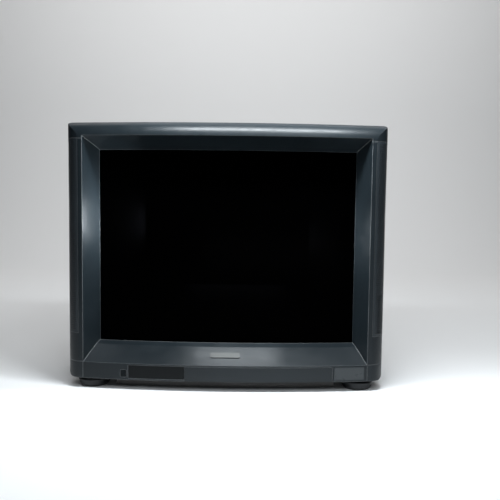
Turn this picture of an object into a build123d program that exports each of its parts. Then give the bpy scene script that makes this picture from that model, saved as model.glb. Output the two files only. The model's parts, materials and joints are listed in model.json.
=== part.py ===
from build123d import *
import os
from math import cos, pi, radians, sin, sqrt, tan

os.makedirs("parts", exist_ok=True)

# A 27-inch direct-view television. Millimetres, +Z up, the screen faces -Y.
# The origin lies on the floor under the middle of the set.

# ---------------------------------------------------------------- driving dimensions
cabinet_width = 672.0
cabinet_height = 557.0
cabinet_depth = 520.0
front_y = -cabinet_depth / 2
rear_y = cabinet_depth / 2
wall = 3.5
seam = 0.4

# Ridge: the rim where the outer band turns into the four slanted walls round the screen.
ridge_half_width = 298.6
ridge_low_z = 56.0
ridge_high_z = 527.2
ridge_bulge = 20.5
ridge_corner_y = front_y + ridge_bulge
front_radius = (ridge_half_width**2 + ridge_bulge**2) / (2 * ridge_bulge)
curve_axis_y = front_y + front_radius

# Slanted walls: depth behind the ridge, half width, lowest and highest height.
step_depth = 43.6
step_half_width = 280.6
step_low_z = 85.1
step_high_z = 509.8
lip_depth = 57.6
lip_half_width = 274.5
lip_low_z = 91.3
lip_high_z = 503.3

# Outer band and control strip.
top_round = cabinet_height - ridge_high_z
side_round = cabinet_width / 2 - ridge_half_width
outline_corner = 14.0
strip_low_z = 21.5
bezel_back_y = -120.0

# Sections of the control strip, left to right.
button_x = (-217.8, -205.4)
button_z = (27.0, 42.0)
window_x = (-201.4, -84.0)
door_x = (-84.0, 225.0)
door_top_z = 52.0
plate_x = (229.0, 292.0)
strip_z = (25.5, 52.0)

# Picture tube: 27V, 110 degrees, 29.1 mm neck.
tube_z = (lip_low_z + lip_high_z) / 2
panel_width = 604.0
panel_height = 466.0
panel_corner = 40.0
glass_front_y = front_y + 62.0
glass_back_y = -104.0
dome_radius = 4000.0
neck_radius = 14.55
cone_start_y = 58.0
neck_start_y = 122.0
neck_end_y = 225.0
band_y = (-150.0, -120.0)
lug_x = 308.0
lug_dz = 239.0

# Rear cover stations: y, half width, top height. The bottom stays level.
cover_stations = [
    (bezel_back_y, cabinet_width / 2, cabinet_height),
    (0.0, 330.0, 551.0),
    (120.0, 215.0, 420.0),
    (rear_y, 200.0, 400.0),
]
cover_wall = 3.0
bay_x = (-150.0, 190.0)
bay_z = (45.0, 130.0)
bay_floor_y = rear_y - 14.0
board_z = 50.0
board_thickness = 1.6
grip_y = (-100.0, -20.0)
grip_z = (280.0, 320.0)
grip_depth = 22.0
grip_face_x = 334.0
well_x = 318.0
well_z = (150.0, 450.0)

foot_radius = 34.0
foot_x = 283.0
foot_front_y = ridge_corner_y + foot_radius
rear_foot_x = 170.0
rear_foot_y = 170.0


# ---------------------------------------------------------------- shared forms
def save(builder, label):
    """Name one finished piece and write its STEP file."""
    builder.part.label = label
    export_step(builder.part, f"parts/{label}.step")


def upright(y):
    """Plane across the set at a depth: sketch x is X, sketch y is Z, extrusion goes forward."""
    return Plane.XZ.offset(-y)


def face_y(x, depth=0.0):
    """Where the curved front lies at a distance from the middle."""
    return curve_axis_y - sqrt((front_radius - depth) ** 2 - x**2)


def ring_plane(face):
    """Radial plane for forms turned about the upright axis behind a curved face."""
    return Plane(origin=(0, face + front_radius, 0), x_dir=(0, 1, 0), z_dir=(1, 0, 0))


def ring_axis(face):
    return Axis((0, face + front_radius, 0), (0, 0, 1))


def slab(x, y, z, mode=Mode.ADD):
    """Rectangular block between the two values given on each axis."""
    middle = tuple((low + high) / 2 for low, high in (x, y, z))
    with Locations(middle):
        Box(x[1] - x[0], y[1] - y[0], z[1] - z[0], mode=mode)


def rod(start, end, radius, mode=Mode.ADD):
    """Round bar from one point to another."""
    line = Vector(*end) - Vector(*start)
    with Locations(Plane(origin=start, z_dir=line)):
        Cylinder(radius, line.length, align=(Align.CENTER, Align.CENTER, Align.MIN), mode=mode)


def front_block(inset, back_y):
    """Outer form of the front moulding, made smaller all round by the inset."""
    half = cabinet_width / 2 - inset
    bend = side_round - inset
    corner_y = face_y(ridge_half_width, inset)
    low = strip_low_z + inset
    high = cabinet_height - inset
    shift = bend * sin(radians(45))
    with BuildPart() as block:
        with BuildSketch(upright(back_y)):
            with Locations((0, (low + high) / 2)):
                RectangleRounded(2 * half, high - low, outline_corner - inset)
        extrude(amount=back_y - front_y)
        with BuildSketch(ring_plane(front_y)):
            radius = front_radius - inset
            back = front_radius - (back_y - front_y) - front_radius / 20
            bend_top = top_round - inset
            turn = bend_top * (1 - sin(radians(45)))
            bend_start = (radius, high - bend_top)
            bend_end = (radius - bend_top, high)
            with BuildLine():
                ThreePointArc(bend_start, (radius - turn, high - turn), bend_end)
                Polyline(bend_end, (back, high), (back, low), (radius, low), bend_start)
            make_face()
        revolve(axis=ring_axis(front_y), mode=Mode.INTERSECT)
        with BuildSketch(Plane.XY):
            with BuildLine():
                corners = [(-ridge_half_width, corner_y), (ridge_half_width, corner_y)]
                ThreePointArc(corners[0], (0, front_y + inset), corners[1])
                for side, corner in zip((-1, 1), corners):
                    on_bend = (side * (ridge_half_width + shift), corner_y + bend - shift)
                    ThreePointArc(corner, on_bend, (side * half, corner_y + bend))
                side_y = corner_y + bend
                Polyline((-half, side_y), (-half, back_y), (half, back_y), (half, side_y))
            make_face()
        extrude(amount=cabinet_height + wall, mode=Mode.INTERSECT)
    return block.part


def funnel_space(grow, back_depth):
    """Space in front of the screen, widened by grow; back_depth counts from the ridge."""
    ahead = 30.0
    reach = ahead / step_depth
    widths = [
        (-ahead, ridge_half_width + (ridge_half_width - step_half_width) * reach),
        (step_depth, step_half_width),
        (lip_depth, lip_half_width),
        (300.0, lip_half_width),
    ]
    lows = [
        (-ahead, ridge_low_z - (step_low_z - ridge_low_z) * reach),
        (step_depth, step_low_z),
        (lip_depth, lip_low_z),
    ]
    highs = [
        (-ahead, ridge_high_z + (ridge_high_z - step_high_z) * reach),
        (step_depth, step_high_z),
        (lip_depth, lip_high_z),
    ]
    if back_depth > lip_depth:
        lows.append((back_depth, lip_low_z))
        highs.append((back_depth, lip_high_z))
    with BuildPart() as space:
        with BuildSketch():
            right = [(half + grow, ridge_corner_y + depth) for depth, half in widths]
            left = [(-x, y) for x, y in reversed(right)]
            with BuildLine():
                Polyline(*right, *left, close=True)
            make_face()
        extrude(amount=cabinet_height + ahead)
        with BuildSketch(ring_plane(front_y)):
            low_line = [(front_radius - depth, z - grow) for depth, z in lows]
            high_line = [(front_radius - depth, z + grow) for depth, z in reversed(highs)]
            with BuildLine():
                Polyline(*low_line, *high_line, close=True)
            make_face()
        revolve(axis=ring_axis(front_y), mode=Mode.INTERSECT)
    return space.part


def front_skin(inner, *zones):
    """Outer skin of the front moulding, down to an inner form, inside rectangular zones."""
    with BuildPart() as blocks:
        for x, y, z in zones:
            slab(x, y, z)
    with BuildPart() as skin:
        add(outer_form)
        add(inner, mode=Mode.SUBTRACT)
        add(blocks.part, mode=Mode.INTERSECT)
    return skin.part


def curved_slab(depth, thickness, x, z):
    """Upright strip that follows the curved front, a given depth behind it."""
    with BuildPart() as strip:
        with BuildSketch(Plane.XY.offset(z[0])):
            with BuildLine():
                for back in (depth, depth + thickness):
                    spots = (x[0], (x[0] + x[1]) / 2, x[1])
                    ThreePointArc(*[(spot, face_y(spot, back)) for spot in spots])
                for side in x:
                    Line((side, face_y(side, depth)), (side, face_y(side, depth + thickness)))
            make_face()
        extrude(amount=z[1] - z[0])
    return strip.part


def domed_block(width, height, corner, face, back_y):
    """Round-cornered block whose front is domed like the screen."""
    half = height / 2 + wall
    sag = half**2 / (2 * dome_radius)
    with BuildPart() as block:
        with BuildSketch(upright(back_y)):
            with Locations((0, tube_z)):
                RectangleRounded(width, height, corner)
        extrude(amount=back_y - face)
        with BuildSketch(ring_plane(face)):
            low = (front_radius - sag, tube_z - half)
            high = (front_radius - sag, tube_z + half)
            back = front_radius - (back_y - face) - front_radius / 20
            with BuildLine():
                ThreePointArc(low, (front_radius, tube_z), high)
                Polyline(high, (back, high[1]), (back, low[1]), low)
            make_face()
        revolve(axis=ring_axis(face), mode=Mode.INTERSECT)
    return block.part


def neck_turned(points):
    """Form turned about the tube's axis from (radius, y) corners."""
    with BuildPart() as turned:
        with BuildSketch(Plane(origin=(0, 0, tube_z), x_dir=(1, 0, 0), z_dir=(0, 0, 1))):
            with BuildLine():
                Polyline(*points, close=True)
            make_face()
        revolve(axis=Axis((0, 0, tube_z), (0, 1, 0)))
    return turned.part


def route_radii(points):
    """Largest tangent arc that the two runs at each bend allow."""
    radii = []
    for before, bend, after in zip(points, points[1:], points[2:]):
        run_in = Vector(*bend) - Vector(*before)
        run_out = Vector(*after) - Vector(*bend)
        half_turn = radians(run_in.get_angle(run_out)) / 2
        radii.append(0.45 * min(run_in.length, run_out.length) / tan(half_turn))
    return radii


def save_lead(points, radius, label):
    """Round lead along straight runs joined by tangent arcs."""
    radii = route_radii(points)
    with BuildPart() as lead:
        with BuildLine() as route:
            FilletPolyline(*points, radius=radii)
        path = route.wire()
        with BuildSketch(Plane(origin=path @ 0, z_dir=path % 0)):
            Circle(radius)
        sweep(path=path)
    volume_ratio = lead.part.volume / (pi * radius**2 * path.length)
    print(label, "radii", [round(bend) for bend in radii], "volume ratio", round(volume_ratio, 3))
    save(lead, label)


# ---------------------------------------------------------------- front moulding and trim
grille_x = (309.0, cabinet_width / 2 + 4)
grille_y = (front_y, -140.0)
grille_z = (117.0, 521.0)
grille_thickness = 2.5
slot_height = 1.7
slot_pitch = 4.0
slot_depth = 1.2
groove_width = 0.9
groove_depth = 1.0
boss_radius = 7.0
screw_radius = 2.0
hole_radius = screw_radius + 0.1
well_pad = 6.0
well_pad_x = (312.0, 334.0)

compartment_back_y = -232.0
button_back_y = -225.0
cheek = 2.5
cheek_y = (-247.0, -223.0)
hinge_y = -241.0
hinge_z = 27.0
pin_radius = 1.5
pin_clearance = 0.08


def grille_zone(side, gap):
    """Limits of a side grille, widened by the gap."""
    x = sorted((side * (grille_x[0] - gap), side * grille_x[1]))
    y = (grille_y[0], grille_y[1] + gap)
    z = (grille_z[0] - gap, grille_z[1] + gap)
    return x, y, z


outer_form = front_block(0, bezel_back_y)
inner_form = front_block(wall, bezel_back_y + 20)
funnel_backing = funnel_space(wall, lip_depth)
with BuildPart() as bezel_hollow:
    add(inner_form)
    add(funnel_backing, mode=Mode.SUBTRACT)

with BuildPart() as bosses:
    for side in (-1, 1):
        for z in (tube_z - lug_dz, tube_z + lug_dz):
            boss_end = (side * lug_x, band_y[0] - 0.2, z)
            rod((side * lug_x, ridge_corner_y + 2, z), boss_end, boss_radius)
        for z in well_z:
            pad_x = sorted(side * edge for edge in well_pad_x)
            slab(pad_x, (bezel_back_y - 40, bezel_back_y), (z - well_pad, z + well_pad))
    add(outer_form, mode=Mode.INTERSECT)


def groove_cuts():
    """Shallow parting grooves: across each column's two ends, and down each end of the strip."""
    groove_inner = front_block(groove_depth, bezel_back_y + 1)
    zones = []
    for side in (-1, 1):
        column_x = sorted((side * ridge_half_width, side * grille_x[1]))
        joint_x = sorted((side * ridge_half_width, side * (ridge_half_width + groove_width)))
        for low in (ridge_low_z, grille_z[1]):
            zones.append((column_x, grille_y, (low, low + groove_width)))
        zones.append((joint_x, grille_y, (strip_low_z, ridge_low_z)))
    return front_skin(groove_inner, *zones)


with BuildPart() as front_bezel:
    add(outer_form)
    add(bezel_hollow.part, mode=Mode.SUBTRACT)
    add(bosses.part)
    add(funnel_space(0, 200), mode=Mode.SUBTRACT)
    for side in (-1, 1):
        for z in (tube_z - lug_dz, tube_z + lug_dz):
            hole_start = (side * lug_x, band_y[0] - 30, z)
            rod(hole_start, (side * lug_x, band_y[0] + 1, z), hole_radius, mode=Mode.SUBTRACT)
        for z in well_z:
            hole_start = (side * well_x, bezel_back_y - 32, z)
            rod(hole_start, (side * well_x, bezel_back_y + 1, z), hole_radius, mode=Mode.SUBTRACT)
        slab(*grille_zone(side, seam), mode=Mode.SUBTRACT)
    bay_y = (front_y - 1, compartment_back_y)
    front_bay_z = (strip_low_z + wall, door_top_z + 0.5)
    slab((window_x[0], door_x[1]), bay_y, front_bay_z, mode=Mode.SUBTRACT)
    slab(door_x, bay_y, (0, front_bay_z[0] + 1), mode=Mode.SUBTRACT)
    slab(button_x, (front_y, button_back_y), button_z, mode=Mode.SUBTRACT)
    for side_x in (door_x[0] - cheek, door_x[1]):
        slab((side_x, side_x + cheek), cheek_y, (strip_low_z, door_top_z + 2))
    for side_x in (door_x[0] - 4, door_x[1] - 1):
        socket_end = (side_x + 5, hinge_y, hinge_z)
        rod((side_x, hinge_y, hinge_z), socket_end, pin_radius + pin_clearance, mode=Mode.SUBTRACT)
    add(groove_cuts(), mode=Mode.SUBTRACT)
save(front_bezel, "front_bezel")

grille_names = {-1: "speaker_grille_left", 1: "speaker_grille_right"}
slot_count = int((grille_z[1] - grille_z[0]) / slot_pitch) - 2
slot_lows = [grille_z[0] + slot_pitch * (slot + 1.3) for slot in range(slot_count)]
grille_inner = front_block(grille_thickness, bezel_back_y + 1)
slot_inner = front_block(slot_depth, bezel_back_y + 1)
for side, label in grille_names.items():
    slot_x = sorted((side * (grille_x[0] + slot_pitch), side * grille_x[1]))
    slot_y = (grille_y[0], grille_y[1] - slot_pitch)
    slot_zones = [(slot_x, slot_y, (low, low + slot_height)) for low in slot_lows]
    with BuildPart() as grille:
        add(front_skin(grille_inner, grille_zone(side, 0)))
        add(front_skin(slot_inner, *slot_zones), mode=Mode.SUBTRACT)
    save(grille, label)

with BuildPart() as sensor_window:
    add(curved_slab(0.3, 2.5, (window_x[0] + 0.4, window_x[1] - 0.4), strip_z))
save(sensor_window, "sensor_window")

with BuildPart() as status_led:
    rod((-100, -246, 40), (-100, -240, 40), 2.5)
    rod((-100, -240, 40), (-100, -238.5, 40), 3.2)
save(status_led, "status_led")

with BuildPart() as model_plate:
    add(curved_slab(-0.8, 0.8, plate_x, strip_z))
    fillet(model_plate.edges().filter_by(Axis.Y, tolerance=15), radius=1.5)
save(model_plate, "model_plate")

# Blank badge on the lower slanted wall.
badge_width = 62.0
badge_height = 14.0
shelf_rise = step_low_z - ridge_low_z
shelf_normal = Vector(0, -shelf_rise, step_depth).normalized()
badge_centre = (0, front_y + step_depth * 0.54, ridge_low_z + shelf_rise * 0.54)
with BuildPart() as badge_plate:
    with BuildSketch(Plane(origin=badge_centre, x_dir=(1, 0, 0), z_dir=shelf_normal)):
        RectangleRounded(badge_width, badge_height, 3)
    extrude(amount=1.4)
save(badge_plate, "badge_plate")

# Flip-down door over the front controls, with an ear at each end for the hinge pins.
ear_thickness = 3.0
door_left = door_x[0] + 0.5
door_right = door_x[1] - 0.5
with BuildPart() as control_door:
    add(curved_slab(0, 2.5, (door_left, door_right), (strip_low_z + 0.5, door_top_z)))
    for ear_x in (door_left, door_right - ear_thickness):
        with BuildSketch(Plane.YZ.offset(ear_x)):
            with BuildLine():
                front = face_y(ear_x + ear_thickness / 2, 1.2)
                Polyline((front, hinge_z - 3.5), (hinge_y, hinge_z - 3.5))
                ThreePointArc((hinge_y, hinge_z - 3.5), (hinge_y + 3.5, hinge_z), (hinge_y, hinge_z + 3.5))
                Polyline((hinge_y, hinge_z + 3.5), (front, hinge_z + 12), (front, hinge_z - 3.5))
            make_face()
        extrude(amount=ear_thickness)
    rod((door_left, hinge_y, hinge_z), (door_right, hinge_y, hinge_z), pin_radius, mode=Mode.SUBTRACT)
save(control_door, "control_door")

with BuildPart() as door_hinge_pins:
    rod((door_x[0] - 2.3, hinge_y, hinge_z), (door_left + ear_thickness, hinge_y, hinge_z), pin_radius)
    rod((door_right - ear_thickness, hinge_y, hinge_z), (door_x[1] + 2.3, hinge_y, hinge_z), pin_radius)
save(door_hinge_pins, "door_hinge_pins")

# Power button: a cap that slides in its square hole, with a stem towards the switch.
button_gap = 0.4
cap_x = (button_x[0] + button_gap, button_x[1] - button_gap)
cap_z = (button_z[0] + button_gap, button_z[1] - button_gap)
button_face_y = face_y(button_x[0]) - 0.3
with BuildPart() as power_button:
    slab(cap_x, (button_face_y, -236), cap_z)
    fillet(power_button.faces().sort_by(Axis.Y)[0].edges(), radius=0.8)
    slab((-215, -208), (-236, -232.6), (31, 38))
save(power_button, "power_button")

# Panel behind the door, with its push buttons and sockets.
panel_y = (-238.0, -235.5)
control_names = ["menu", "input", "volume_down", "volume_up", "channel_down", "channel_up"]
control_pitch = 25.0
control_first_x = -50.0
control_z = 38.0
key_width = 14.0
key_height = 8.0
key_gap = 0.35
jack_x = (120.0, 150.0, 180.0)
jack_z = 38.0
jack_sleeve_radius = 4.15
jack_bore_radius = 1.7
control_x = [control_first_x + control_pitch * place for place in range(len(control_names))]

with BuildPart() as control_panel:
    slab((-80.2, 221.2), panel_y, (strip_low_z + wall + 0.2, 58))
    for x in control_x:
        hole_x = (x - key_width / 2 - key_gap, x + key_width / 2 + key_gap)
        hole_z = (control_z - key_height / 2 - key_gap, control_z + key_height / 2 + key_gap)
        slab(hole_x, (panel_y[0] - 1, panel_y[1] + 1), hole_z, mode=Mode.SUBTRACT)
    for x in jack_x:
        rod((x, panel_y[0] - 1, jack_z), (x, panel_y[1] + 1, jack_z), 6.7, mode=Mode.SUBTRACT)
save(control_panel, "control_panel")

for x, name in zip(control_x, control_names):
    with BuildPart() as key:
        slab((x - 7, x + 7), (panel_y[0] - 2.5, panel_y[1] + 0.5), (control_z - 4, control_z + 4))
        fillet(key.faces().sort_by(Axis.Y)[0].edges(), radius=0.7)
        slab((x - 8.5, x + 8.5), (panel_y[1] + 0.4, panel_y[1] + 1.5), (control_z - 5.5, control_z + 5.5))
        slab((x - 2, x + 2), (panel_y[1] + 1.4, -227.8), (control_z - 2, control_z + 2))
    save(key, f"{name}_button")

with BuildPart() as control_board:
    slab((-225, 221), (-222, -220.4), (27, 50))
    for x in control_x:
        slab((x - 3, x + 3), (-226.4, -222), (control_z - 3, control_z + 3))
    slab((-219, -204), (-229, -222), (28, 41))
    slab((-106, -94), (-238.4, -222), (36.5, 43.5))
save(control_board, "control_board")

with BuildPart() as front_av_jacks:
    for x in jack_x:
        rod((x, -237, jack_z), (x, -222.2, jack_z), 6.4)
        rod((x, -245, jack_z), (x, -237, jack_z), jack_sleeve_radius)
        rod((x, -246, jack_z), (x, -234, jack_z), jack_bore_radius, mode=Mode.SUBTRACT)
save(front_av_jacks, "front_av_jacks")

# Plinth under the strip, set back in shadow, and the four feet.
plinth_setback = 28.0
plinth_half_width = 232.0
plinth_low_z = 4.5
with BuildPart() as base_plinth:
    add(curved_slab(plinth_setback, 3, (-plinth_half_width, plinth_half_width), (plinth_low_z, strip_low_z)))
save(base_plinth, "base_plinth")

foot_places = {
    "foot_front_left": (-foot_x, foot_front_y),
    "foot_front_right": (foot_x, foot_front_y),
    "foot_rear_left": (-rear_foot_x, rear_foot_y),
    "foot_rear_right": (rear_foot_x, rear_foot_y),
}
foot_sole = foot_radius - 6.5
foot_waist = foot_radius - 1.2
foot_shank = 20.0
bead_z = (12.6, 17.4)
for label, (x, y) in foot_places.items():
    with BuildPart() as foot:
        with BuildSketch(Plane(origin=(x, y, 0), x_dir=(1, 0, 0), z_dir=(0, -1, 0))):
            bead_low = (foot_waist, bead_z[0])
            bead_high = (foot_waist - 1, bead_z[1])
            with BuildLine():
                Polyline((0, 0), (foot_sole, 0), (foot_waist - 1.5, 5), bead_low)
                ThreePointArc(bead_low, (foot_radius, sum(bead_z) / 2), bead_high)
                shank_low = (foot_shank, bead_z[1] + 0.6)
                Polyline(bead_high, shank_low, (foot_shank, strip_low_z), (0, strip_low_z), (0, 0))
            make_face()
        revolve(axis=Axis((x, y, 0), (0, 0, 1)))
    save(foot, label)


# ---------------------------------------------------------------- picture tube
glass_thickness = 12.0
skirt_thickness = 10.0
with BuildPart() as crt_faceplate:
    add(domed_block(panel_width, panel_height, panel_corner, glass_front_y, glass_back_y))
    inner_size = (panel_width - 2 * skirt_thickness, panel_height - 2 * skirt_thickness)
    inner_face = glass_front_y + glass_thickness
    add(domed_block(*inner_size, panel_corner - 8, inner_face, glass_back_y + 1), mode=Mode.SUBTRACT)
save(crt_faceplate, "crt_faceplate")

funnel_sections = [(glass_back_y, 596, 458, 50), (-50, 540, 408, 110), (0, 400, 310, 130), (60, 150, 142, 68)]
funnel_wall = 5.0


def funnel_loft(shrink):
    """Wide part of the glass funnel, made smaller all round."""
    with BuildPart() as form:
        for y, width, height, corner in funnel_sections:
            with BuildSketch(upright(y)):
                with Locations((0, tube_z)):
                    RectangleRounded(width - 2 * shrink, height - 2 * shrink, corner - shrink)
        loft()
    return form.part


cone_radius = 71.0
throat_radius = 24.0
throat_y = 105.0
neck_bore = 11.8
neck_floor_y = 221.0


def cone_profile(shrink, start_y, end_y, end_radius):
    """Corners of the cone between the funnel's wide part and the neck."""
    return [
        (0, start_y),
        (cone_radius - shrink, start_y),
        (throat_radius - shrink, throat_y),
        (end_radius, end_y),
        (0, end_y),
    ]


outer_loft = funnel_loft(0)
inner_cone = cone_profile(funnel_wall, cone_start_y - 3, neck_start_y + 1, neck_bore - 0.8)
with BuildPart() as crt_funnel:
    add(outer_loft)
    add(neck_turned(cone_profile(0, cone_start_y, neck_start_y, neck_radius)))
    add(funnel_loft(funnel_wall), mode=Mode.SUBTRACT)
    add(neck_turned(inner_cone), mode=Mode.SUBTRACT)
save(crt_funnel, "crt_funnel")

neck_outside = [(neck_bore, neck_start_y), (neck_radius, neck_start_y), (neck_radius, neck_end_y)]
neck_inside = [(0, neck_end_y), (0, neck_floor_y), (neck_bore, neck_floor_y)]
with BuildPart() as crt_neck:
    add(neck_turned([*neck_outside, *neck_inside]))
save(crt_neck, "crt_neck")

gun_pin_count = 12
gun_pin_circle = 7.6
# Electrodes: first y, last y and radius.
gun_electrodes = [(150, 160, 11), (162, 176, 9), (178, 184, 10.5), (187, 204, 9), (206, 214, 10)]
with BuildPart() as electron_gun:
    for start, end, radius in gun_electrodes:
        rod((0, start, tube_z), (0, end, tube_z), radius)
    rod((0, 150, tube_z), (0, 220.8, tube_z), 4)
    for place in range(gun_pin_count):
        angle = 2 * pi * place / gun_pin_count
        x = gun_pin_circle * cos(angle)
        z = tube_z + gun_pin_circle * sin(angle)
        rod((x, neck_end_y, z), (x, neck_end_y + 8, z), 0.5)
save(electron_gun, "electron_gun")

mask_y = glass_front_y + glass_thickness + 12
with BuildPart() as shadow_mask:
    add(domed_block(560, 424, 20, mask_y, mask_y + 42))
    add(domed_block(556, 420, 18, mask_y + 1, mask_y + 43), mode=Mode.SUBTRACT)
save(shadow_mask, "shadow_mask")


def shield_form(shrink):
    with BuildPart() as form:
        for y, width, height in [(-112, 540, 404), (-30, 360, 260)]:
            with BuildSketch(upright(y)):
                with Locations((0, tube_z)):
                    RectangleRounded(width - 2 * shrink, height - 2 * shrink, 24 - shrink)
        loft(ruled=True)
    return form.part


with BuildPart() as magnetic_shield:
    add(shield_form(0))
    add(shield_form(1), mode=Mode.SUBTRACT)
save(magnetic_shield, "magnetic_shield")

band_thickness = 1.5
lug_size = 36.0
lug_thickness = 3.0
tube_fit = (panel_width + 0.2, panel_height + 0.2, panel_corner)
band_width = panel_width + 2 * band_thickness
band_height = panel_height + 2 * band_thickness
corner_signs = [(side, rise) for side in (-1, 1) for rise in (-1, 1)]
lug_places = [(side * lug_x, tube_z + rise * lug_dz) for side, rise in corner_signs]
with BuildPart() as rim_band:
    with BuildSketch(upright(band_y[1])):
        with Locations((0, tube_z)):
            RectangleRounded(band_width, band_height, panel_corner + band_thickness)
            RectangleRounded(*tube_fit, mode=Mode.SUBTRACT)
    extrude(amount=band_y[1] - band_y[0])
    with BuildSketch(upright(band_y[0] + lug_thickness)):
        for side, rise in corner_signs:
            lug_centre = (side * (lug_x - 6), tube_z + rise * (lug_dz - 6))
            with Locations(Location(lug_centre, (0, 0, 45))):
                RectangleRounded(lug_size, lug_size, 6)
        with Locations((0, tube_z)):
            RectangleRounded(*tube_fit, mode=Mode.SUBTRACT)
        with Locations(*lug_places):
            Circle(screw_radius + 1, mode=Mode.SUBTRACT)
    extrude(amount=lug_thickness)
save(rim_band, "rim_band")

coil_y = -88.0
coil_half_width = 301.0
coil_half_height = 236.0
coil_radius = 6.0
coil_corner = 60.0


def coil_outline(grow):
    """Width, height and corner of the coil's loop, moved out from its middle line."""
    return 2 * (coil_half_width + grow), 2 * (coil_half_height + grow), coil_corner + grow


with BuildPart() as degaussing_coil:
    with BuildSketch(upright(coil_y + coil_radius)):
        with Locations((0, tube_z)):
            RectangleRounded(*coil_outline(coil_radius))
            RectangleRounded(*coil_outline(-coil_radius), mode=Mode.SUBTRACT)
    extrude(amount=2 * coil_radius)
    fillet(degaussing_coil.edges().filter_by(Plane.XZ), radius=4)
save(degaussing_coil, "degaussing_coil")

braid_left = [(-290, -116, 48), (-258, -78, 46), (-196, -26, 84), (-112, 34, 136)]
braid_right = [(-x, y, z) for x, y, z in reversed(braid_left)]
braid_points = [*braid_left, (0, 62, 168), *braid_right]
save_lead(braid_points, 2.5, "ground_braid")

# Deflection yoke, its ferrite core, the neck clamp and the magnet rings.
coil_outside = [(68, 66), (92, 66), (92, 72), (80, 76), (46, 108), (46, 118), (40, 124)]
coil_inside = [(19, 124), (19, 119), (30, 105)]
with BuildPart() as yoke_coils:
    add(neck_turned([*coil_outside, *coil_inside]))
save(yoke_coils, "yoke_coils")

with BuildPart() as yoke_core:
    add(neck_turned([(82, 78), (92, 87), (61, 117), (51, 109)]))
save(yoke_core, "yoke_core")

sleeve_radius = 16.1
sleeve_end_y = 172.0
clamp_radius = 20.0
clamp_y = (126.0, 135.0)
clamp_bore = neck_radius + 0.2
clamp_outside = [(clamp_bore, clamp_y[0]), (clamp_radius, clamp_y[0]), (clamp_radius, clamp_y[1])]
sleeve_outside = [(sleeve_radius, clamp_y[1]), (sleeve_radius, sleeve_end_y), (clamp_bore, sleeve_end_y)]
with BuildPart() as yoke_clamp:
    add(neck_turned([*clamp_outside, *sleeve_outside]))
    slab((-5, 5), (clamp_y[0] + 1, clamp_y[1] - 1), (tube_z + 17, tube_z + 30))
    rod((-8, sum(clamp_y) / 2, tube_z + 26), (8, sum(clamp_y) / 2, tube_z + 26), screw_radius)
save(yoke_clamp, "yoke_clamp")

ring_kinds = ("purity", "four_pole", "six_pole")
ring_names = [f"{kind}_ring_{place}" for kind in ring_kinds for place in ("front", "rear")]
ring_first_y = 140.0
ring_pitch = 4.0
ring_thickness = 2.4
for place, label in enumerate(ring_names):
    ring_y = ring_first_y + ring_pitch * place
    tilt = 60 * place
    with BuildPart() as magnet_ring:
        with BuildSketch(upright(ring_y + ring_thickness)):
            with Locations((0, tube_z)):
                Circle(24)
                with Locations(Location((0, 0), (0, 0, tilt))):
                    with GridLocations(50, 0, 2, 1):
                        RectangleRounded(14, 5, 1.5)
                Circle(sleeve_radius + 0.08, mode=Mode.SUBTRACT)
        extrude(amount=ring_thickness)
    save(magnet_ring, label)

with BuildPart() as neck_socket:
    rod((0, neck_end_y + 1, tube_z), (0, 238, tube_z), 20)
    for place in range(gun_pin_count):
        angle = 2 * pi * place / gun_pin_count
        x = gun_pin_circle * cos(angle)
        z = tube_z + gun_pin_circle * sin(angle)
        rod((x, neck_end_y, z), (x, neck_end_y + 9, z), 0.7, mode=Mode.SUBTRACT)
save(neck_socket, "neck_socket")

with BuildPart() as neck_board:
    slab((-50, 50), (238.2, 239.8), (tube_z - 55, tube_z + 45))
    for x in (-38, -22, 22, 38):
        rod((x, 239.8, tube_z - 30), (x, 250, tube_z - 30), 5)
    slab((-40, 40), (239.8, 246), (tube_z + 26, tube_z + 36))
save(neck_board, "neck_board")

# Anode cap on the upper side of the funnel, square to the glass.
cap_spot, cap_normal = outer_loft.find_intersection_points(Axis((0, -30, tube_z), (0, 0, 1)))[-1]
cap_plane = Plane(origin=cap_spot, z_dir=cap_normal)
with BuildPart() as anode_cap:
    with BuildSketch(cap_plane.offset(0.6)):
        Circle(26)
    extrude(amount=3)
    with BuildSketch(cap_plane.offset(3.6)):
        Circle(14)
    extrude(amount=9, taper=18)
save(anode_cap, "anode_cap")


# ---------------------------------------------------------------- chassis
flyback_x = (-140.0, -90.0)
flyback_y = (130.0, 176.0)
flyback_top_z = 132.0
knob_gap = 0.06
knob_places = {"focus_knob": -127.0, "screen_knob": -103.0}
knob_z = 98.0

with BuildPart() as main_board:
    slab((-182, 182), (-70, 236), (board_z - board_thickness, board_z))
save(main_board, "main_board")

with BuildPart() as flyback_transformer:
    slab(flyback_x, flyback_y, (board_z, flyback_top_z))
    fillet(flyback_transformer.edges().filter_by(Axis.Z), radius=5)
    slab((-126, -104), (118, 188), (board_z + 6, board_z + 28))
    rod((-115, 153, flyback_top_z), (-115, 153, flyback_top_z + 6), 9)
    for x in knob_places.values():
        rod((x, flyback_y[1] - 8, knob_z), (x, flyback_y[1] + 1, knob_z), 3 + knob_gap, mode=Mode.SUBTRACT)
save(flyback_transformer, "flyback_transformer")

for label, x in knob_places.items():
    with BuildPart() as knob:
        rod((x, flyback_y[1] - 7, knob_z), (x, flyback_y[1] + 1, knob_z), 3)
        rod((x, flyback_y[1] + 0.5, knob_z), (x, flyback_y[1] + 9, knob_z), 7)
        slot_y = (flyback_y[1] + 7.5, flyback_y[1] + 10)
        slab((x - 0.8, x + 0.8), slot_y, (knob_z - 6, knob_z + 6), mode=Mode.SUBTRACT)
    save(knob, label)

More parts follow.
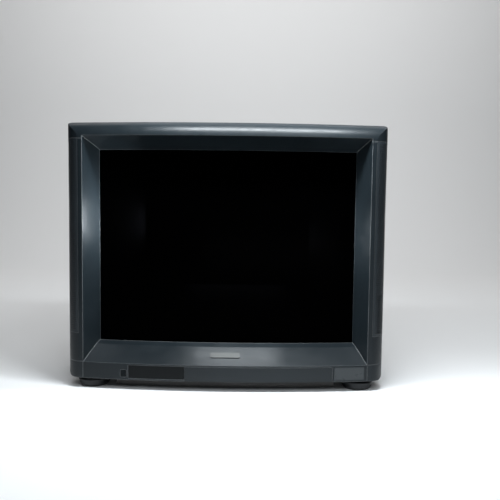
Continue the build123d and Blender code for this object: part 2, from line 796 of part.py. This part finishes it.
cap_top = cap_plane.from_local_coords(Vector(0, 0, 11.0))
lead_points = [
    (-115, 153, flyback_top_z + 6.2),
    (-115, 156, flyback_top_z + 45),
    (-124, 150, flyback_top_z + 95),
    (-136, 128, flyback_top_z + 150),
    (-130, 98, flyback_top_z + 205),
    (-106, 74, flyback_top_z + 258),
    (-72, 50, flyback_top_z + 306),
    (-36, 22, flyback_top_z + 345),
    (-12, -6, cap_top.Z + 5),
    tuple(cap_top),
]
save_lead(lead_points, 2.4, "anode_lead")

with BuildPart() as heat_sinks:
    for x, y in ((-20, 60), (95, 40)):
        slab((x, x + 4), (y, y + 70), (board_z, board_z + 62))
        for fin in range(7):
            fin_y = y + 2 + 10.6 * fin
            slab((x + 4, x + 20), (fin_y, fin_y + 2.2), (board_z + 6, board_z + 62))
save(heat_sinks, "heat_sinks")

# Each rear socket has a collar that fills its hole in the cover, and a sleeve outside it.
tuner_x = (30.0, 92.0)
antenna_radius = 4.76
antenna_collar = 7.0
antenna_length = 9.5
antenna_x = 52.0
antenna_z = 72.0
jack_collar = 6.0
jack_length = 8.0
collar_gap = 0.4
can_back_y = bay_floor_y - cover_wall - 0.2


def rear_socket(x, z, collar, radius, length):
    """Socket through the floor of the connection bay."""
    rod((x, can_back_y - 1, z), (x, bay_floor_y, z), collar)
    rod((x, bay_floor_y - 1, z), (x, bay_floor_y + length, z), radius)


with BuildPart() as tuner:
    slab(tuner_x, (185, can_back_y), (board_z, board_z + 38))
    rear_socket(antenna_x, antenna_z, antenna_collar, antenna_radius, antenna_length)
    contact_end = (antenna_x, bay_floor_y + antenna_length + 1, antenna_z)
    rod((antenna_x, bay_floor_y + 2, antenna_z), contact_end, 0.8, mode=Mode.SUBTRACT)
save(tuner, "tuner")

rear_jack_x = (120.0, 145.0, 170.0)
rear_jack_z = (68.0, 92.0)
rear_jacks = [(x, z) for x in rear_jack_x for z in rear_jack_z]
with BuildPart() as rear_av_jacks:
    slab((108, 182), (222, can_back_y), (board_z + 6, 104))
    for x, z in rear_jacks:
        rear_socket(x, z, jack_collar, jack_sleeve_radius, jack_length)
    for x, z in rear_jacks:
        bore_end = (x, bay_floor_y + jack_length + 1, z)
        rod((x, bay_floor_y - 2, z), bore_end, jack_bore_radius, mode=Mode.SUBTRACT)
save(rear_av_jacks, "rear_av_jacks")

# Capacitors: x, y, radius and height above the board.
capacitors = [
    (-60, 20, 17, 48),
    (-60, 70, 11, 34),
    (40, 20, 9, 28),
    (60, 130, 8, 24),
    (150, 60, 11, 30),
    (-150, 60, 9, 26),
]
with BuildPart() as board_components:
    for x, y, radius, height in capacitors:
        rod((x, y, board_z), (x, y, board_z + height), radius)
    slab((-165, -115), (0, 44), (board_z, board_z + 42))
    slab((-60, -20), (150, 190), (board_z, board_z + 34))
    slab((0, 26), (160, 190), (board_z, board_z + 6))
save(board_components, "board_components")

speaker_z = 360.0
speaker_y = -182.0
speaker_x = (306.5, 331.0)
for side, label in ((-1, "speaker_left"), (1, "speaker_right")):
    face_x = side * speaker_x[1]
    with BuildPart() as speaker:
        side_plane = Plane(origin=(face_x, speaker_y, speaker_z), x_dir=(0, 1, 0), z_dir=(side, 0, 0))
        with BuildSketch(side_plane):
            RectangleRounded(50, 110, 20)
            RectangleRounded(42, 100, 18, mode=Mode.SUBTRACT)
        extrude(amount=-2)
        with BuildSketch(side_plane.offset(-2)):
            RectangleRounded(44, 102, 19)
        with BuildSketch(side_plane.offset(-12)):
            RectangleRounded(30, 50, 14)
        loft(ruled=True)
        with BuildSketch(side_plane.offset(-12)):
            Circle(19)
        extrude(amount=-12)
    save(speaker, label)


# ---------------------------------------------------------------- rear cover and its cap
vent_width = 4.0
vent_pitch = 11.0
top_vent = {"rows": (62.0,), "count": 27, "slot_length": 70.0, "depth": 145.0}
rear_vent = {"rows": (360.0, 230.0), "count": 23, "slot_length": 44.0, "depth": 12.0}
post_x = 120.0
post_radius = 5.0
cover_post_y = (-60.0, 60.0)
cap_post_y = 225.0
well_radius = 6.0
well_wall = 2.0
well_bottom_y = bezel_back_y + 8.0
well_rear_y = 70.0
cut_margin = 5.0
tube_head_height = 4.0
tube_thread_length = 25.0
cover_head_height = 3.0
cover_head_radius = 4.5
cover_thread_length = 28.0
cord_x = -125.0
cord_z = 72.0
cord_radius = 3.6
grommet_radius = 8.0
cover_front = cover_stations[:3]
cap_start, cap_half, cap_top_z = cover_stations[2]
cap_stations = [(cap_start + seam, cap_half, cap_top_z), cover_stations[3]]


def cover_form(stations, inset, front_reach, back_reach):
    """Outer form through some of the rear cover's stations, made smaller all round."""
    low = strip_low_z + inset
    sections = [[y, half - inset, top - inset] for y, half, top in stations]
    sections[0][0] -= front_reach
    sections[-1][0] += back_reach
    with BuildPart() as form:
        for front, back in zip(sections, sections[1:]):
            for y, half, top in (front, back):
                with BuildSketch(upright(y)):
                    with Locations((0, (low + top) / 2)):
                        RectangleRounded(2 * half, top - low, outline_corner - inset)
            loft(ruled=True)
    return form.part


def mouth_ring(outside, inside, start_y, end_y):
    """Ring with the outline of the cover's rear mouth, between two insets."""
    middle = (strip_low_z + cap_top_z) / 2
    height = cap_top_z - strip_low_z
    with BuildPart() as ring:
        with BuildSketch(upright(end_y)):
            for inset, mode in ((outside, Mode.ADD), (inside, Mode.SUBTRACT)):
                width = 2 * (cap_half - inset)
                with Locations((0, middle)):
                    RectangleRounded(width, height - 2 * inset, outline_corner - inset, mode=mode)
        extrude(amount=end_y - start_y)
    return ring.part


def vent_cuts(plane, rows, count, slot_length, depth):
    """Rows of ventilation slots, cut from a plane."""
    with BuildPart() as cuts:
        with BuildSketch(plane):
            for row in rows:
                with Locations((0, row)):
                    with GridLocations(vent_pitch, 0, count, 1):
                        Rectangle(vent_width, slot_length)
        extrude(amount=depth + cut_margin)
    return cuts.part


def post(side, y):
    """Post that holds the main board off the cover's floor."""
    rod((side * post_x, y, strip_low_z), (side * post_x, y, board_z - board_thickness), post_radius)


cover_outer = cover_form(cover_front, 0, 0, 0)
with BuildPart() as cover_blocks:
    for side in (-1, 1):
        grip_x = sorted((side * (grip_face_x - grip_depth - cover_wall), side * cabinet_width / 2))
        grip_block_y = (grip_y[0] - cover_wall, grip_y[1] + cover_wall)
        slab(grip_x, grip_block_y, (grip_z[0] - cover_wall, grip_z[1] + cover_wall))
        for z in well_z:
            rod((side * well_x, bezel_back_y, z), (side * well_x, well_rear_y, z), well_radius + well_wall)
        for y in cover_post_y:
            post(side, y)
    add(cover_outer, mode=Mode.INTERSECT)

with BuildPart() as rear_cover:
    add(cover_outer)
    add(cover_form(cover_front, cover_wall, 1, 1), mode=Mode.SUBTRACT)
    add(cover_blocks.part)
    for side in (-1, 1):
        grip_x = sorted((side * (grip_face_x - grip_depth), side * cabinet_width))
        slab(grip_x, grip_y, grip_z, mode=Mode.SUBTRACT)
        for z in well_z:
            seat = (side * well_x, well_bottom_y, z)
            rod(seat, (side * well_x, well_rear_y + cut_margin, z), well_radius, mode=Mode.SUBTRACT)
            screw_hole_start = (side * well_x, bezel_back_y - 1, z)
            rod(screw_hole_start, seat, 2 * hole_radius - screw_radius, mode=Mode.SUBTRACT)
    from_above = Plane((0, 0, cabinet_height + cut_margin), x_dir=(-1, 0, 0), z_dir=(0, 0, -1))
    add(vent_cuts(from_above, **top_vent), mode=Mode.SUBTRACT)
save(rear_cover, "rear_cover")

# Cap over the neck end. A flange and a tongue at its front close the joint with the cover.
tongue_length = 6.0
tongue_inset = cover_wall + seam
cap_outer = cover_form(cap_stations, 0, 0, 0)
with BuildPart() as cap_blocks:
    bay_frame_x = (bay_x[0] - cover_wall, bay_x[1] + cover_wall)
    bay_frame_z = (bay_z[0] - cover_wall, bay_z[1] + cover_wall)
    slab(bay_frame_x, (bay_floor_y - cover_wall, rear_y), bay_frame_z)
    for side in (-1, 1):
        post(side, cap_post_y)
    add(cap_outer, mode=Mode.INTERSECT)

with BuildPart() as rear_cap:
    add(cap_outer)
    add(cover_form(cap_stations, cover_wall, 1, -cover_wall), mode=Mode.SUBTRACT)
    add(cap_blocks.part)
    add(mouth_ring(1, 2 * tongue_inset, cap_start + seam, cap_start + seam + cover_wall))
    add(mouth_ring(tongue_inset, 2 * tongue_inset, cap_start - tongue_length, cap_start + seam + 1))
    slab(bay_x, (bay_floor_y, rear_y + 1), bay_z, mode=Mode.SUBTRACT)
    bay_holes = [(antenna_x, antenna_z, antenna_collar + collar_gap), (cord_x, cord_z, grommet_radius + 0.2)]
    bay_holes += [(x, z, jack_collar + collar_gap) for x, z in rear_jacks]
    for x, z, radius in bay_holes:
        rod((x, bay_floor_y - cut_margin, z), (x, bay_floor_y + 1, z), radius, mode=Mode.SUBTRACT)
    add(vent_cuts(upright(rear_y + cut_margin), **rear_vent), mode=Mode.SUBTRACT)
save(rear_cap, "rear_cap")

# Screws: four hold the tube's lugs, four hold the rear cover in its wells.
with BuildPart() as assembly_screws:
    for x, z in lug_places:
        head_y = band_y[0] + lug_thickness
        rod((x, band_y[0] - tube_thread_length, z), (x, head_y, z), screw_radius)
        rod((x, head_y, z), (x, head_y + tube_head_height, z), 3 * screw_radius)
    for side in (-1, 1):
        for z in well_z:
            head_start = (side * well_x, well_bottom_y, z)
            thread_end = (side * well_x, bezel_back_y - cover_thread_length, z)
            rod(thread_end, head_start, screw_radius)
            rod(head_start, (side * well_x, well_bottom_y + cover_head_height, z), cover_head_radius)
save(assembly_screws, "assembly_screws")

# Grommet: waist in the cover's hole, flange outside it, nose, and the cord's bore through all.
grommet_runs = [
    (bay_floor_y - 6, bay_floor_y, grommet_radius),
    (bay_floor_y, bay_floor_y + 3, grommet_radius + 3),
    (bay_floor_y + 3, rear_y - 1, grommet_radius - 2),
]
with BuildPart() as cord_grommet:
    for start, end, radius in grommet_runs:
        rod((cord_x, start, cord_z), (cord_x, end, cord_z), radius)
    rod((cord_x, bay_floor_y - 7, cord_z), (cord_x, rear_y, cord_z), cord_radius, mode=Mode.SUBTRACT)
save(cord_grommet, "cord_grommet")
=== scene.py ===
import json
from math import cos, radians, sin

import bmesh
import bpy
from mathutils import Matrix, Vector


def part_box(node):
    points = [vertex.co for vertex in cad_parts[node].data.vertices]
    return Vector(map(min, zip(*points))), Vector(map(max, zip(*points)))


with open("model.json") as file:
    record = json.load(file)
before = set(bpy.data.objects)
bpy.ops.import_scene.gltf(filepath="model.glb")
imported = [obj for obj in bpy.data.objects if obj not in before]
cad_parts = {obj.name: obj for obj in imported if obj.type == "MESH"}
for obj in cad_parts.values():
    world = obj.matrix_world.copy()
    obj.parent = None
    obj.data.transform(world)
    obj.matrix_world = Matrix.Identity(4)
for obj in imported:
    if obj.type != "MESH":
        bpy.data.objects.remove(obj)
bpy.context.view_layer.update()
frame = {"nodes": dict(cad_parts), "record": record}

nodes = frame["nodes"]
bezel_low, bezel_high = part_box("front_bezel")
glass_low, glass_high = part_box("crt_faceplate")
front_y, top_z = bezel_low.y, bezel_high.z
middle_z = (glass_low.z + glass_high.z) / 2


# ---------------------------------------------------------------- camera
def make_camera():
    """Camera in front, a little right of the middle and level with the screen's upper half."""
    yaw, pitch, roll = radians(-0.27), radians(3.87), radians(0.70)
    right_of_middle, distance, below_top = 0.0555, 1.1835, 0.1801
    forward = Vector((sin(yaw) * cos(pitch), cos(yaw) * cos(pitch), -sin(pitch)))
    right = Vector((cos(yaw), -sin(yaw), 0))
    up = right.cross(forward)
    right_rolled = cos(roll) * right + sin(roll) * up
    up_rolled = cos(roll) * up - sin(roll) * right
    data = bpy.data.cameras.new("camera")
    data.sensor_width = 36
    data.lens = 41.9
    camera = bpy.data.objects.new("camera", data)
    bpy.context.scene.collection.objects.link(camera)
    axes = Matrix((right_rolled, up_rolled, -forward)).transposed()
    place = Vector((right_of_middle, front_y - distance, top_z - below_top))
    camera.matrix_world = Matrix.Translation(place) @ axes.to_4x4()
    bpy.context.scene.camera = camera


# ---------------------------------------------------------------- floor and lights
def floor_profile():
    """Side line of the floor: level, then a quarter bend, then an upright backdrop."""
    start_y, end_y, height, bend, steps = -3.0, 3.2, 3.6, 1.2, 16
    profile = [(start_y, 0.0), (end_y - bend, 0.0)]
    for step in range(1, steps):
        angle = radians(90 * step / steps)
        profile.append((end_y - bend + bend * sin(angle), bend - bend * cos(angle)))
    return profile + [(end_y, bend), (end_y, height)]


def make_stage():
    """Pale floor that curves up into a backdrop far behind the set."""
    half_width = 5.0
    mesh = bpy.data.meshes.new("studio_floor")
    shape = bmesh.new()
    rows = [[shape.verts.new((x, y, z)) for x in (-half_width, half_width)] for y, z in floor_profile()]
    for near, far in zip(rows, rows[1:]):
        shape.faces.new((near[0], near[1], far[1], far[0]))
    shape.to_mesh(mesh)
    shape.free()
    mesh.polygons.foreach_set("use_smooth", [True] * len(mesh.polygons))
    floor = bpy.data.objects.new("studio_floor", mesh)
    bpy.context.scene.collection.objects.link(floor)
    material = bpy.data.materials.new("pale_floor")
    material.use_nodes = True
    shader = material.node_tree.nodes["Principled BSDF"]
    shader.inputs["Base Color"].default_value = (0.9, 0.9, 0.9, 1)
    shader.inputs["Roughness"].default_value = 0.8
    mesh.materials.append(material)


def add_light(name, place, target, size, power, colour=(0.90, 0.96, 1.0)):
    """Soft rectangular light at a place, facing a target."""
    data = bpy.data.lights.new(name, "AREA")
    data.shape = "RECTANGLE"
    data.size, data.size_y = size
    data.energy = power
    data.color = colour
    lamp = bpy.data.objects.new(name, data)
    bpy.context.scene.collection.objects.link(lamp)
    lamp.location = place
    lamp.rotation_euler = (Vector(target) - Vector(place)).to_track_quat("-Z", "Y").to_euler()
    lamp.visible_camera = False


def make_room_lights():
    """Broad lights round the set, each placed from the floor under the middle of its front."""
    face = (0, 0, middle_z)
    strip = (0, 0.01, 0.1)
    right_column = (0.3, 0.06, 0.4)
    backdrop = (0, 2.86, 0.8)
    room_lights = [
        ("light_front", (0.25, -1.69, 1.75), face, (1.0, 0.8), 16),
        ("light_above", (0.1, -0.64, 2.4), face, (1.2, 0.8), 4),
        ("light_low", (0.3, -1.74, 0.15), strip, (1.2, 0.25), 3),
        ("light_right", (1.8, -0.74, 1.2), right_column, (0.3, 0.8), 1),
    ]
    origin = Vector((0, front_y, 0))
    for name, place, target, size, power in room_lights:
        add_light(name, origin + Vector(place), origin + Vector(target), size, power)
    backdrop_light = origin + Vector((0, 1.46, 3.0))
    add_light("light_back", backdrop_light, origin + Vector(backdrop), (4, 1.5), 60, (1, 1, 1))


def make_near_lights():
    """Small lights for the sheen on the top edge and the glow on the recess walls."""
    edge = Vector((0.09, front_y, top_z))
    add_light("light_edge", edge + Vector((0, -0.15, 0.24)), edge, (0.52, 0.06), 10)
    recess_y = front_y + 0.045
    off_wall = 0.13
    tip = Vector((0, -0.01, 0))
    wall_glow = (0.03, 0.06)
    left = Vector((glass_low.x, recess_y, 0.350))
    right = Vector((glass_high.x, recess_y, 0.320))
    add_light("glow_left", left + Vector((off_wall, 0, 0)), left + tip, wall_glow, 0.78)
    add_light("glow_right", right - Vector((off_wall, 0, 0)), right + tip, wall_glow, 0.22)
    low = Vector((0.02, recess_y, 0.07))
    add_light("glow_low", low + Vector((0, 0, 0.15)), low + tip, (0.20, 0.03), 0.34)


def make_world():
    """Faint cool fill light from all round, and plain colours."""
    world = bpy.data.worlds.new("studio")
    world.use_nodes = True
    background = world.node_tree.nodes["Background"]
    background.inputs["Color"].default_value = (0.9, 0.95, 1, 1)
    background.inputs["Strength"].default_value = 0.03
    bpy.context.scene.world = world
    bpy.context.scene.view_settings.view_transform = "Standard"


# ---------------------------------------------------------------- materials
def shade(colour, factor, extra=0.0):
    """A colour made lighter or darker."""
    return tuple(min(1, part * factor + extra) for part in colour)


class Recipe:
    """Small helper that wires one procedural material."""

    def __init__(self, name):
        self.material = bpy.data.materials.new(name)
        self.material.use_nodes = True
        self.tree = self.material.node_tree
        self.shader = self.tree.nodes["Principled BSDF"]
        self.coordinates = self.tree.nodes.new("ShaderNodeTexCoord").outputs["Object"]

    def link(self, source, target):
        self.tree.links.new(source, target)

    def stretch(self, factors):
        """Scale the texture coordinates, to draw the grain out along an axis."""
        node = self.tree.nodes.new("ShaderNodeMapping")
        node.inputs["Scale"].default_value = factors
        self.link(self.coordinates, node.inputs["Vector"])
        self.coordinates = node.outputs["Vector"]

    def noise(self, scale, detail=3.0, roughness=0.5):
        """Soft uneven patches."""
        node = self.tree.nodes.new("ShaderNodeTexNoise")
        node.inputs["Scale"].default_value = scale
        node.inputs["Detail"].default_value = detail
        node.inputs["Roughness"].default_value = roughness
        self.link(self.coordinates, node.inputs["Vector"])
        return node.outputs["Fac"]

    def cells(self, scale):
        """Packed cells, as in leather or moulded grain."""
        node = self.tree.nodes.new("ShaderNodeTexVoronoi")
        node.inputs["Scale"].default_value = scale
        self.link(self.coordinates, node.inputs["Vector"])
        return node.outputs["Distance"]

    def bands(self, scale, direction, distortion, rings):
        """Even bands or rings, as in layers of wire."""
        node = self.tree.nodes.new("ShaderNodeTexWave")
        node.wave_type = "RINGS" if rings else "BANDS"
        if rings:
            node.rings_direction = direction
        else:
            node.bands_direction = direction
        node.inputs["Scale"].default_value = scale
        node.inputs["Distortion"].default_value = distortion
        self.link(self.coordinates, node.inputs["Vector"])
        return node.outputs["Fac"]

    def spread(self, source, low, high, from_low=0.3, from_high=0.7):
        """Map a value's range to another one."""
        node = self.tree.nodes.new("ShaderNodeMapRange")
        node.inputs["From Min"].default_value = from_low
        node.inputs["From Max"].default_value = from_high
        node.inputs["To Min"].default_value = low
        node.inputs["To Max"].default_value = high
        self.link(source, node.inputs["Value"])
        return node.outputs["Result"]

    def blend(self, factor, low, high):
        """Mix two colours, each given as numbers or as another node's output."""
        node = self.tree.nodes.new("ShaderNodeMix")
        node.data_type = "RGBA"
        self.link(factor, node.inputs["Factor"])
        for socket, colour in ((node.inputs[6], low), (node.inputs[7], high)):
            if hasattr(colour, "is_linked"):
                self.link(colour, socket)
            else:
                socket.default_value = (*colour, 1)
        return node.outputs[2]

    def bump(self, height, distance, strength=1.0, under=None):
        """Relief of a depth in metres, over another relief if one is given."""
        node = self.tree.nodes.new("ShaderNodeBump")
        node.inputs["Distance"].default_value = distance
        node.inputs["Strength"].default_value = strength
        self.link(height, node.inputs["Height"])
        if under is not None:
            self.link(under, node.inputs["Normal"])
        return node.outputs["Normal"]

    def rounding(self, radius):
        """Normals that run round the sharp edges."""
        node = self.tree.nodes.new("ShaderNodeBevel")
        node.samples = 6
        node.inputs["Radius"].default_value = radius
        return node.outputs["Normal"]

    def edges(self, rounded, edge_wear_and_highlight):
        """Edge mask where the rounded normal leaves the face's own; it paints the edges lighter, partly as
        wear and partly as a painted highlight.
        """
        full_edge_mark, no_edge_mark = 0.8, 0.98
        geometry = self.tree.nodes.new("ShaderNodeNewGeometry")
        facing = self.tree.nodes.new("ShaderNodeVectorMath")
        facing.operation = "DOT_PRODUCT"
        self.link(rounded, facing.inputs[0])
        self.link(geometry.outputs["Normal"], facing.inputs[1])
        return self.spread(facing.outputs["Value"], edge_wear_and_highlight, 0, full_edge_mark, no_edge_mark)


def moulded_plastic(
    name,
    colour,
    roughness,
    grain_scale=2600,
    grain_depth=0.00003,
    edge_wear_and_highlight=0.35,
    edge=0.0012,
    specular=0.3,
    rub_and_highlight=0.02,
):
    """Moulded plastic: fine grain, uneven gloss, faint handling marks, and rounded edges painted lighter,
    partly as worn plastic and partly as a painted highlight.
    """
    r = Recipe(name)
    r.shader.inputs["Specular IOR Level"].default_value = specular
    rounded = r.rounding(edge)
    patches = r.spread(r.noise(scale=9, detail=4), 0, 1)
    body = r.blend(patches, shade(colour, 0.86), shade(colour, 1.14))
    # Lighter edge colour: partly worn plastic, partly a painted highlight along the ridges.
    worn_and_highlit = shade(colour, 1.8, rub_and_highlight)
    r.link(r.blend(r.edges(rounded, edge_wear_and_highlight), body, worn_and_highlit), r.shader.inputs["Base Color"])
    gloss = r.spread(r.noise(scale=35, detail=5), roughness - 0.05, roughness + 0.07)
    r.link(gloss, r.shader.inputs["Roughness"])
    grain = r.bump(r.cells(grain_scale), grain_depth, under=rounded)
    handling = r.bump(r.noise(scale=60, detail=3), 0.00004, 0.5, grain)
    r.link(handling, r.shader.inputs["Normal"])
    return r.material


def dark_glass(name, colour, roughness):
    """Tinted or coated glass with a very light polish ripple."""
    r = Recipe(name)
    r.link(r.blend(r.noise(scale=3, detail=2), colour, shade(colour, 1.6)), r.shader.inputs["Base Color"])
    r.shader.inputs["IOR"].default_value = 1.3
    r.shader.inputs["Specular IOR Level"].default_value = 0.004
    polish = r.spread(r.noise(scale=12, detail=3), roughness, roughness + 0.06)
    r.link(polish, r.shader.inputs["Roughness"])
    r.link(r.bump(r.noise(scale=2.5, detail=1), 0.0004, 0.3), r.shader.inputs["Normal"])
    return r.material


def metal(name, colour, roughness, stretch=(1, 1, 1), scale=300.0):
    """Rolled, drawn or plated metal with fine streaks."""
    r = Recipe(name)
    r.stretch(stretch)
    streaks = r.noise(scale, detail=4, roughness=0.6)
    r.shader.inputs["Metallic"].default_value = 1
    r.link(r.blend(streaks, shade(colour, 0.8), colour), r.shader.inputs["Base Color"])
    r.link(r.spread(streaks, roughness - 0.06, roughness + 0.08), r.shader.inputs["Roughness"])
    r.link(r.bump(streaks, 0.00002, 0.4, r.rounding(0.0004)), r.shader.inputs["Normal"])
    return r.material


def wound(name, colour, scale, direction, roughness=0.5, metallic=0.0, rings=False):
    """Wire, tape or braid laid side by side."""
    r = Recipe(name)
    turns = r.bands(scale, direction, 0.6, rings)
    r.shader.inputs["Metallic"].default_value = metallic
    r.link(r.blend(turns, shade(colour, 0.35), colour), r.shader.inputs["Base Color"])
    r.link(r.spread(r.noise(scale=200), roughness - 0.08, roughness + 0.1), r.shader.inputs["Roughness"])
    r.link(r.bump(turns, 0.0004, 0.8), r.shader.inputs["Normal"])
    return r.material


def circuit_board(name):
    """Phenolic board with speckle and pale printed dots."""
    r = Recipe(name)
    resin_dark, resin_light, print_colour = (0.19, 0.095, 0.03), (0.28, 0.15, 0.055), (0.75, 0.72, 0.6)
    speckle = r.spread(r.noise(scale=700, detail=2), 0, 1)
    base = r.blend(speckle, resin_dark, resin_light)
    dots = r.spread(r.cells(scale=55), 0.5, 0, 0.02, 0.05)
    r.link(r.blend(dots, base, print_colour), r.shader.inputs["Base Color"])
    r.link(r.spread(speckle, 0.4, 0.55), r.shader.inputs["Roughness"])
    r.link(r.bump(speckle, 0.00003, 0.5), r.shader.inputs["Normal"])
    return r.material


charcoal = (0.008, 0.0115, 0.014)
grille_charcoal = (0.018, 0.023, 0.027)
black = (0.014, 0.016, 0.018)
natural = (0.62, 0.59, 0.48)
steel = (0.62, 0.61, 0.58)
along_x, along_y, along_z = (0.04, 1, 1), (1, 0.04, 1), (1, 1, 0.04)
sharp_edge, small_edge, cabinet_edge = 0.0004, 0.0006, 0.0024


def case_materials():
    """Materials of the parts seen from outside."""
    return {
        # Cabinet and door edges are painted strongly lighter: mostly a painted highlight along the ridges
        # and mitres, a little wear.
        "cabinet_plastic": moulded_plastic(
            "satin_charcoal", charcoal, 0.34, edge_wear_and_highlight=1.0, edge=cabinet_edge, specular=0.22, rub_and_highlight=0.13
        ),
        "door_plastic": moulded_plastic(
            "satin_charcoal_door", charcoal, 0.34, edge_wear_and_highlight=0.6, specular=0.26, rub_and_highlight=0.05
        ),
        "trim_plastic": moulded_plastic("grille_charcoal", grille_charcoal, 0.40, edge=sharp_edge),
        "cover_plastic": moulded_plastic(
            "coarse_charcoal", (0.016, 0.018, 0.020), 0.55, grain_scale=900, grain_depth=0.00012, edge_wear_and_highlight=0.15
        ),
        "plinth_plastic": moulded_plastic(
            "plinth_grey_black", (0.045, 0.043, 0.042), 0.6, grain_scale=1500, grain_depth=0.00006, edge_wear_and_highlight=0.1
        ),
        "window_plastic": moulded_plastic(
            "smoked_window",
            (0.003, 0.004, 0.0045),
            0.16,
            grain_scale=400,
            grain_depth=0.000004,
            edge_wear_and_highlight=0.1,
            edge=sharp_edge,
            specular=0.12,
        ),
        "button_plastic": moulded_plastic(
            "button_charcoal", (0.002, 0.004, 0.005), 0.28, edge=small_edge, specular=0.1
        ),
        "key_plastic": moulded_plastic("key_charcoal", (0.035, 0.040, 0.045), 0.40, edge=small_edge),
        "panel_plastic": moulded_plastic(
            "panel_black", black, 0.5, grain_scale=1500, grain_depth=0.00005, edge=0.0005
        ),
        "badge_metal": metal("badge_dark_metal", (0.05, 0.051, 0.05), 0.45, along_x, scale=900),
        "plate_metal": moulded_plastic(
            "plate_dark",
            (0.030, 0.035, 0.038),
            0.3,
            grain_scale=1800,
            grain_depth=0.00001,
            edge_wear_and_highlight=0.2,
            edge=0.0005,
        ),
        "led_red": moulded_plastic(
            "led_clear_red",
            (0.22, 0.008, 0.006),
            0.12,
            grain_scale=300,
            grain_depth=0.000003,
            edge_wear_and_highlight=0.1,
            edge=sharp_edge,
        ),
        "foot_rubber": moulded_plastic(
            "foot_black",
            (0.006, 0.007, 0.008),
            0.5,
            grain_scale=1300,
            grain_depth=0.00006,
            edge_wear_and_highlight=0.15,
            edge=0.0008,
        ),
        "pin_steel": metal("drawn_pin", steel, 0.25, along_x),
        "screw_steel": metal("zinc_screw", (0.60, 0.57, 0.45), 0.3),
        "jack_plastic": metal("plated_sleeve", (0.70, 0.68, 0.62), 0.2),
        "grommet_rubber": moulded_plastic("grommet_rubber", (0.016, 0.016, 0.016), 0.6),
    }


def tube_materials():
    """Materials of the picture tube, its yoke and its neck rings."""
    return {
        "screen_glass": dark_glass("screen_dark_glass", (0.0001, 0.0001, 0.00012), 0.12),
        "bulb_glass": dark_glass("graphite_coated_glass", (0.012, 0.012, 0.013), 0.45),
        "gun_steel": metal("gun_steel", steel, 0.3, along_y),
        "mask_steel": metal("blackened_steel", (0.05, 0.05, 0.052), 0.5),
        "band_steel": metal("rolled_band", (0.5, 0.5, 0.49), 0.35, along_x),
        "coil_tape": wound("wrapped_tape", (0.03, 0.03, 0.032), 30, "DIAGONAL"),
        "copper_braid": wound("tinned_braid", (0.62, 0.50, 0.40), 220, "DIAGONAL", 0.4, 1.0),
        "yoke_copper": wound("varnished_windings", (0.50, 0.16, 0.05), 55, "Y", 0.35, 0.7, rings=True),
        "ferrite": moulded_plastic(
            "sintered_ferrite", (0.045, 0.045, 0.05), 0.65, grain_scale=1200, grain_depth=0.00008
        ),
        "neck_plastic": moulded_plastic("natural_nylon", (0.68, 0.67, 0.60), 0.45),
        "ring_magnet": moulded_plastic("bonded_magnet", (0.03, 0.03, 0.03), 0.5, edge=sharp_edge),
        "socket_plastic": moulded_plastic("socket_natural", natural, 0.45),
        "anode_rubber": moulded_plastic(
            "anode_rubber", (0.10, 0.025, 0.018), 0.6, grain_scale=1200, grain_depth=0.00005
        ),
        "lead_rubber": moulded_plastic(
            "silicone_lead", (0.32, 0.02, 0.015), 0.5, grain_scale=1500, grain_depth=0.00003
        ),
    }


def board_materials():
    """Materials of the boards, their components and the speakers."""
    return {
        "board": circuit_board("phenolic_board"),
        "flyback_plastic": moulded_plastic("potted_black", (0.022, 0.022, 0.024), 0.4),
        "knob_plastic": moulded_plastic("knob_natural", natural, 0.4, edge=0.0005),
        "sink_aluminium": metal("extruded_aluminium", (0.72, 0.72, 0.71), 0.35, along_z),
        "tuner_steel": metal("tinned_can", (0.66, 0.66, 0.64), 0.3),
        "component_plastic": moulded_plastic("sleeved_parts", (0.02, 0.03, 0.08), 0.35),
        "speaker_black": moulded_plastic(
            "speaker_black", (0.02, 0.02, 0.02), 0.55, grain_scale=1000, grain_depth=0.00008
        ),
    }


def dress_nodes(materials):
    """Give each CAD node the material of its record slot."""
    for row in frame["record"]["subparts"]:
        for place in nodes[row["node"]].material_slots:
            place.material = materials[row["material_slot"]]


make_camera()
make_stage()
make_room_lights()
make_near_lights()
make_world()
dress_nodes({**case_materials(), **tube_materials(), **board_materials()})
bpy.context.view_layer.update()
